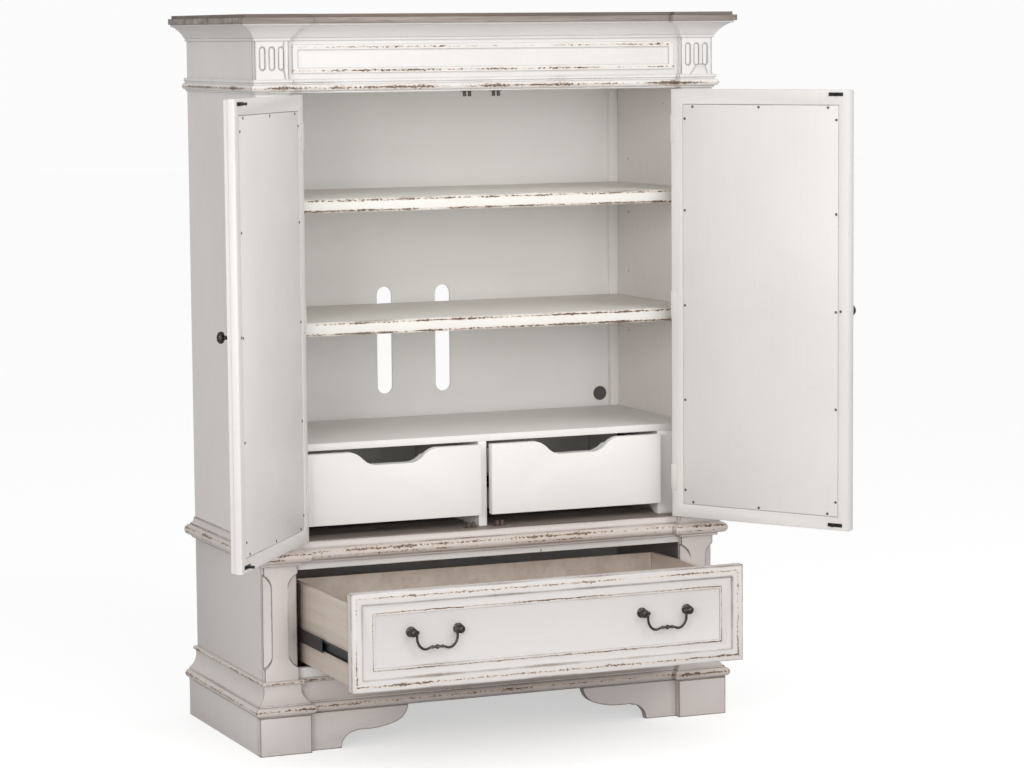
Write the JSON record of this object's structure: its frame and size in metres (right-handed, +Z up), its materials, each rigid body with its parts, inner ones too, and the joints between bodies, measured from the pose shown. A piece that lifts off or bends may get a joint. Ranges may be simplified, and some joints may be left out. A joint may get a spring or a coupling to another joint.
{
  "type": "armoire",
  "caption": "Breakfront armoire with hinged doors over adjustable shelves and small drawers, a wide lower drawer with bail pulls, and a bracket-foot plinth.",
  "frame": {"origin": "centre of the rear face at floor level", "axes": "+Z up, +X to the right, +Y out of the back towards the wall; the front faces -Y"},
  "size_m": [1.484, 0.8914, 1.626],
  "materials": {
    "antique_white": "antique white paint rubbed through to brown at the edges",
    "side_paint": "antique white paint with a grey glaze, brushed",
    "weathered_top": "weathered taupe stain with grain",
    "interior_paint": "plain off-white paint",
    "drawer_lining": "pinkish beige lacquered wood",
    "raw_wood": "unpainted wood",
    "dark_bronze": "burnished dark bronze",
    "black_steel": "black zinc",
    "painted_hinge": "painted over in off-white",
    "grey_plastic": "moulded grey",
    "roller_plastic": "dark brown"
  },
  "bodies": {
    "case": {"back_panels": "interior_paint", "back_vent": "grey_plastic", "base_moulding": "antique_white", "case_floor": "raw_wood", "case_hinges": "painted_hinge", "ceiling_board": "interior_paint", "corner_battens": "interior_paint", "crown_moulding": "antique_white", "drawer_bay_fillers": "interior_paint", "drawer_deck": "interior_paint", "drawer_divider": "interior_paint", "drawer_rails": "antique_white", "drawer_runners": "raw_wood", "frieze_blocks": "antique_white", "frieze_board": "antique_white", "frieze_panel_moulding": "antique_white", "glue_blocks": "raw_wood", "inner_slides_fixed": "black_steel", "lower_posts": "antique_white", "lower_sides": "side_paint", "neck_moulding": "antique_white", "pilasters": "antique_white", "plinth_blocks": "antique_white", "plinth_skirt": "side_paint", "roller_catches": "roller_plastic", "scroll_brackets": "antique_white", "shelf_pins": "black_steel", "shelves": "interior_paint", "top_slab": "weathered_top", "upper_sides": "side_paint", "waist_board": "weathered_top", "waist_moulding": "antique_white", "wide_slides_fixed": "black_steel"},
    "door_left": {"door_frame_left": "antique_white", "door_panel_left": "interior_paint", "door_bead_left": "antique_white", "door_screws_left": "black_steel", "door_strikes_left": "black_steel", "door_knob_left": "dark_bronze", "door_hinges_left": "painted_hinge"},
    "inner_drawer_left": {"inner_drawer_front_left": "antique_white", "inner_drawer_box_left": "interior_paint", "inner_slide_members_left": "black_steel"},
    "pull_bail_left": {"bail_left": "dark_bronze"},
    "door_right": {"door_frame_right": "antique_white", "door_panel_right": "interior_paint", "door_bead_right": "antique_white", "door_screws_right": "black_steel", "door_strikes_right": "black_steel", "door_knob_right": "dark_bronze", "door_hinges_right": "painted_hinge"},
    "inner_drawer_right": {"inner_drawer_front_right": "antique_white", "inner_drawer_box_right": "interior_paint", "inner_slide_members_right": "black_steel"},
    "pull_bail_right": {"bail_right": "dark_bronze"},
    "wide_drawer": {"wide_drawer_front": "antique_white", "wide_drawer_box": "drawer_lining", "wide_drawer_posts": "dark_bronze", "wide_slides_drawer": "black_steel"},
    "wide_slide_carriage": {"wide_slides_middle": "black_steel"}
  },
  "joints": [
    {"name": "door_left_hinge", "type": "hinge", "parent": "case", "child": "door_left", "pos_m": [-0.464, -0.4876, 0.961], "axis": [0, 0, -1], "range_deg": [-126.7, 3.3]},
    {"name": "door_right_hinge", "type": "hinge", "parent": "case", "child": "door_right", "pos_m": [0.464, -0.4876, 0.961], "axis": [0, 0, 1], "range_deg": [-122.3, 7.7]},
    {"name": "inner_drawer_left_slide", "type": "slide", "parent": "case", "child": "inner_drawer_left", "axis": [0, -1, 0], "range_m": [-0.024, 0.226]},
    {"name": "inner_drawer_right_slide", "type": "slide", "parent": "case", "child": "inner_drawer_right", "axis": [0, -1, 0], "range_m": [-0.024, 0.226]},
    {"name": "wide_drawer_slide", "type": "slide", "parent": "case", "child": "wide_drawer", "axis": [0, -1, 0], "range_m": [-0.342, 0.058]},
    {"name": "wide_carriage_slide", "type": "slide", "parent": "case", "child": "wide_slide_carriage", "axis": [0, -1, 0], "range_m": [-0.171, 0.029]},
    {"name": "pull_bail_left_swing", "type": "hinge", "parent": "wide_drawer", "child": "pull_bail_left", "pos_m": [-0.272, -0.832, 0.311], "axis": [-1, 0, 0], "range_deg": [0, 85]},
    {"name": "pull_bail_right_swing", "type": "hinge", "parent": "wide_drawer", "child": "pull_bail_right", "pos_m": [0.272, -0.832, 0.311], "axis": [-1, 0, 0], "range_deg": [0, 85]}
  ],
  "couplings": [
    {"joint": "wide_carriage_slide", "follows": "wide_drawer_slide", "ratio": 0.5}
  ]
}
